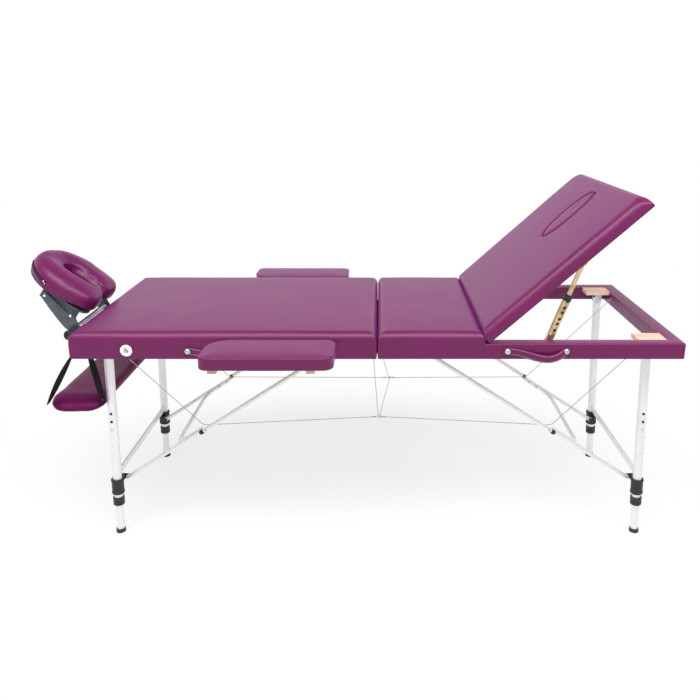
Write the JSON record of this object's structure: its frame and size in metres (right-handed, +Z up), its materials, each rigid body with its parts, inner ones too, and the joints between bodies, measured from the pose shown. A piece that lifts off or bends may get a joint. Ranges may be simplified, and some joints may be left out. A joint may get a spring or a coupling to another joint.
{
  "type": "portable massage table",
  "caption": "Folding massage table with a lifting backrest, tilting face cradle, padded side armrests, a hanging arm sling and telescoping aluminium legs.",
  "frame": {"origin": "centre of the footprint box, on the floor", "axes": "+X along the bed towards the backrest end, +Y away from the side with the carrying straps, +Z up"},
  "size_m": [2.1116, 1.068, 1.1429],
  "materials": {
    "aluminium": "satin silver anodised",
    "black_plastic": "moulded black plastic",
    "gold_zinc": "yellow zinc plating",
    "plywood": "thin birch plywood",
    "rubber": "matt black rubber",
    "slate_plastic": "dark grey-green glass-filled plastic",
    "steel": "bright steel",
    "vinyl": "upholstery vinyl, soft satin sheen with a fine grain",
    "webbing": "woven black polyester webbing",
    "wood": "planed light hardwood, oiled"
  },
  "bodies": {
    "back_half": {"back_frame": "wood", "seat_deck": "plywood", "seat_cushion": "vinyl", "back_near_leg_hinge": "steel", "back_far_leg_hinge": "steel", "fold_hinge_back_leaf": "steel", "back_handle_strap": "vinyl", "back_cables": "steel"},
    "head_half": {"head_frame": "wood", "head_deck": "plywood", "head_cushion": "vinyl", "head_near_leg_hinge": "steel", "head_far_leg_hinge": "steel", "fold_hinge_head_leaf": "steel", "head_handle_strap": "vinyl", "head_near_cable": "steel", "head_far_cable": "steel"},
    "backrest": {"backrest_board": "plywood", "backrest_cushion": "vinyl"},
    "face_plug": {"face_plug": "vinyl"},
    "strut_channels": {"strut_near_channel": "gold_zinc", "strut_far_channel": "gold_zinc"},
    "strut_rods": {"strut_near_rod": "gold_zinc", "strut_far_rod": "gold_zinc"},
    "head_legs": {"head_leg_frame": "aluminium", "head_near_collar": "black_plastic", "head_far_collar": "black_plastic"},
    "head_upper_stays": {"head_near_upper_stay": "aluminium", "head_far_upper_stay": "aluminium"},
    "head_lower_stays": {"head_lower_stay_frame": "aluminium"},
    "head_near_extension": {"head_near_leg_extension": "aluminium", "head_near_foot": "rubber"},
    "head_near_button": {"head_near_leg_button": "steel"},
    "head_far_extension": {"head_far_leg_extension": "aluminium", "head_far_foot": "rubber"},
    "head_far_button": {"head_far_leg_button": "steel"},
    "back_legs": {"back_leg_frame": "aluminium", "back_near_collar": "black_plastic", "back_far_collar": "black_plastic"},
    "back_upper_stays": {"back_near_upper_stay": "aluminium", "back_far_upper_stay": "aluminium"},
    "back_lower_stays": {"back_lower_stay_frame": "aluminium"},
    "back_near_extension": {"back_near_leg_extension": "aluminium", "back_near_foot": "rubber"},
    "back_near_button": {"back_near_leg_button": "steel"},
    "back_far_extension": {"back_far_leg_extension": "aluminium", "back_far_foot": "rubber"},
    "back_far_button": {"back_far_leg_button": "steel"},
    "headrest_platform": {"face_cushion": "vinyl", "headrest_plate": "slate_plastic"},
    "headrest_arms": {"headrest_arms": "slate_plastic"},
    "headrest_base": {"headrest_posts": "aluminium"},
    "headrest_cam": {"headrest_cam": "black_plastic"},
    "armrest_near": {"armrest_near_pad": "vinyl", "armrest_near_bars": "wood"},
    "armrest_far": {"armrest_far_pad": "vinyl", "armrest_far_bars": "wood"},
    "arm_sling": {"sling_pad": "vinyl", "sling_near_strap": "webbing", "sling_far_strap": "webbing"}
  },
  "joints": [
    {"name": "table_fold", "type": "hinge", "parent": "back_half", "child": "head_half", "pos_m": [0.1278, 0, 0.6555], "axis": [0, -1, 0], "range_deg": [0, 100]},
    {"name": "backrest_tilt", "type": "hinge", "parent": "back_half", "child": "backrest", "pos_m": [0.4658, 0, 0.7025], "axis": [0, -1, 0], "range_deg": [-42.5, 0]},
    {"name": "face_plug_slide", "type": "slide", "parent": "backrest", "child": "face_plug", "axis": [-0.6756, 0, 0.7373], "range_m": [0, 0.1]},
    {"name": "strut_swing", "type": "hinge", "parent": "back_half", "child": "strut_channels", "pos_m": [0.6535, 0, 0.69], "axis": [0, -1, 0], "range_deg": [-69.25, 0]},
    {"name": "strut_slide", "type": "slide", "parent": "strut_channels", "child": "strut_rods", "axis": [0.3349, 0, 0.9422], "range_m": [-0.08948, 0]},
    {"name": "head_leg_fold", "type": "hinge", "parent": "head_half", "child": "head_legs", "pos_m": [-0.71869, 0, 0.672], "axis": [0, -1, 0], "range_deg": [0, 92.26], "deforming": ["head_near_cable", "head_far_cable"]},
    {"name": "head_upper_stay_fold", "type": "hinge", "parent": "head_half", "child": "head_upper_stays", "pos_m": [0.0502, 0, 0.69], "axis": [0, -1, 0], "range_deg": [-33.45, 0]},
    {"name": "head_lower_stay_fold", "type": "hinge", "parent": "head_legs", "child": "head_lower_stays", "pos_m": [-0.72003, 0, 0.18129], "axis": [0, -1, 0], "range_deg": [0, 54.31]},
    {"name": "head_near_leg_length", "type": "slide", "parent": "head_legs", "child": "head_near_extension", "axis": [0.0394, 0, 0.9992], "range_m": [-0.168, 0]},
    {"name": "head_near_button_press", "type": "slide", "parent": "head_legs", "child": "head_near_button", "axis": [0, 1, 0], "range_m": [0, 0.0025], "stiffness_N_per_m": 400},
    {"name": "head_far_leg_length", "type": "slide", "parent": "head_legs", "child": "head_far_extension", "axis": [0.0394, 0, 0.9992], "range_m": [-0.168, 0]},
    {"name": "head_far_button_press", "type": "slide", "parent": "head_legs", "child": "head_far_button", "axis": [0, -1, 0], "range_m": [0, 0.0025], "stiffness_N_per_m": 400},
    {"name": "back_leg_fold", "type": "hinge", "parent": "back_half", "child": "back_legs", "pos_m": [0.97429, 0, 0.672], "axis": [0, 1, 0], "range_deg": [0, 92.26], "deforming": ["back_cables"]},
    {"name": "back_upper_stay_fold", "type": "hinge", "parent": "back_half", "child": "back_upper_stays", "pos_m": [0.2054, 0, 0.69], "axis": [0, 1, 0], "range_deg": [-33.45, 0]},
    {"name": "back_lower_stay_fold", "type": "hinge", "parent": "back_legs", "child": "back_lower_stays", "pos_m": [0.97563, 0, 0.18129], "axis": [0, 1, 0], "range_deg": [0, 54.31]},
    {"name": "back_near_leg_length", "type": "slide", "parent": "back_legs", "child": "back_near_extension", "axis": [-0.0394, 0, 0.9992], "range_m": [-0.168, 0]},
    {"name": "back_near_button_press", "type": "slide", "parent": "back_legs", "child": "back_near_button", "axis": [0, 1, 0], "range_m": [0, 0.0025], "stiffness_N_per_m": 400},
    {"name": "back_far_leg_length", "type": "slide", "parent": "back_legs", "child": "back_far_extension", "axis": [-0.0394, 0, 0.9992], "range_m": [-0.168, 0]},
    {"name": "back_far_button_press", "type": "slide", "parent": "back_legs", "child": "back_far_button", "axis": [0, -1, 0], "range_m": [0, 0.0025], "stiffness_N_per_m": 400},
    {"name": "headrest_slide", "type": "slide", "parent": "head_half", "child": "headrest_base", "axis": [-1, 0, 0], "range_m": [0, 0.03]},
    {"name": "headrest_height", "type": "hinge", "parent": "headrest_base", "child": "headrest_arms", "pos_m": [-0.8722, 0, 0.686], "axis": [0, -1, 0], "range_deg": [0, 45]},
    {"name": "headrest_tilt", "type": "hinge", "parent": "headrest_arms", "child": "headrest_platform", "pos_m": [-0.9612, 0, 0.795], "axis": [0, -1, 0], "range_deg": [0, 30]},
    {"name": "headrest_cam_lever", "type": "hinge", "parent": "headrest_base", "child": "headrest_cam", "pos_m": [-0.8722, 0, 0.686], "axis": [0, 1, 0], "range_deg": [0, 90]},
    {"name": "armrest_near_slide", "type": "slide", "parent": "head_half", "child": "armrest_near", "axis": [0, -1, 0], "range_m": [0, 0.055]},
    {"name": "armrest_far_slide", "type": "slide", "parent": "head_half", "child": "armrest_far", "axis": [0, 1, 0], "range_m": [0, 0.055]},
    {"name": "sling_swing", "type": "hinge", "parent": "head_half", "child": "arm_sling", "pos_m": [-0.8022, 0, 0.659], "axis": [0, 1, 0], "range_deg": [0, 15]}
  ],
  "couplings": [
    {"joint": "strut_swing", "follows": "backrest_tilt", "ratio": 1.6291},
    {"joint": "strut_slide", "follows": "backrest_tilt", "m_per_rad": 0.1205},
    {"joint": "head_upper_stay_fold", "follows": "head_leg_fold", "ratio": -0.36249},
    {"joint": "head_lower_stay_fold", "follows": "head_leg_fold", "ratio": 0.58853},
    {"joint": "back_upper_stay_fold", "follows": "back_leg_fold", "ratio": -0.36249},
    {"joint": "back_lower_stay_fold", "follows": "back_leg_fold", "ratio": 0.58853}
  ]
}
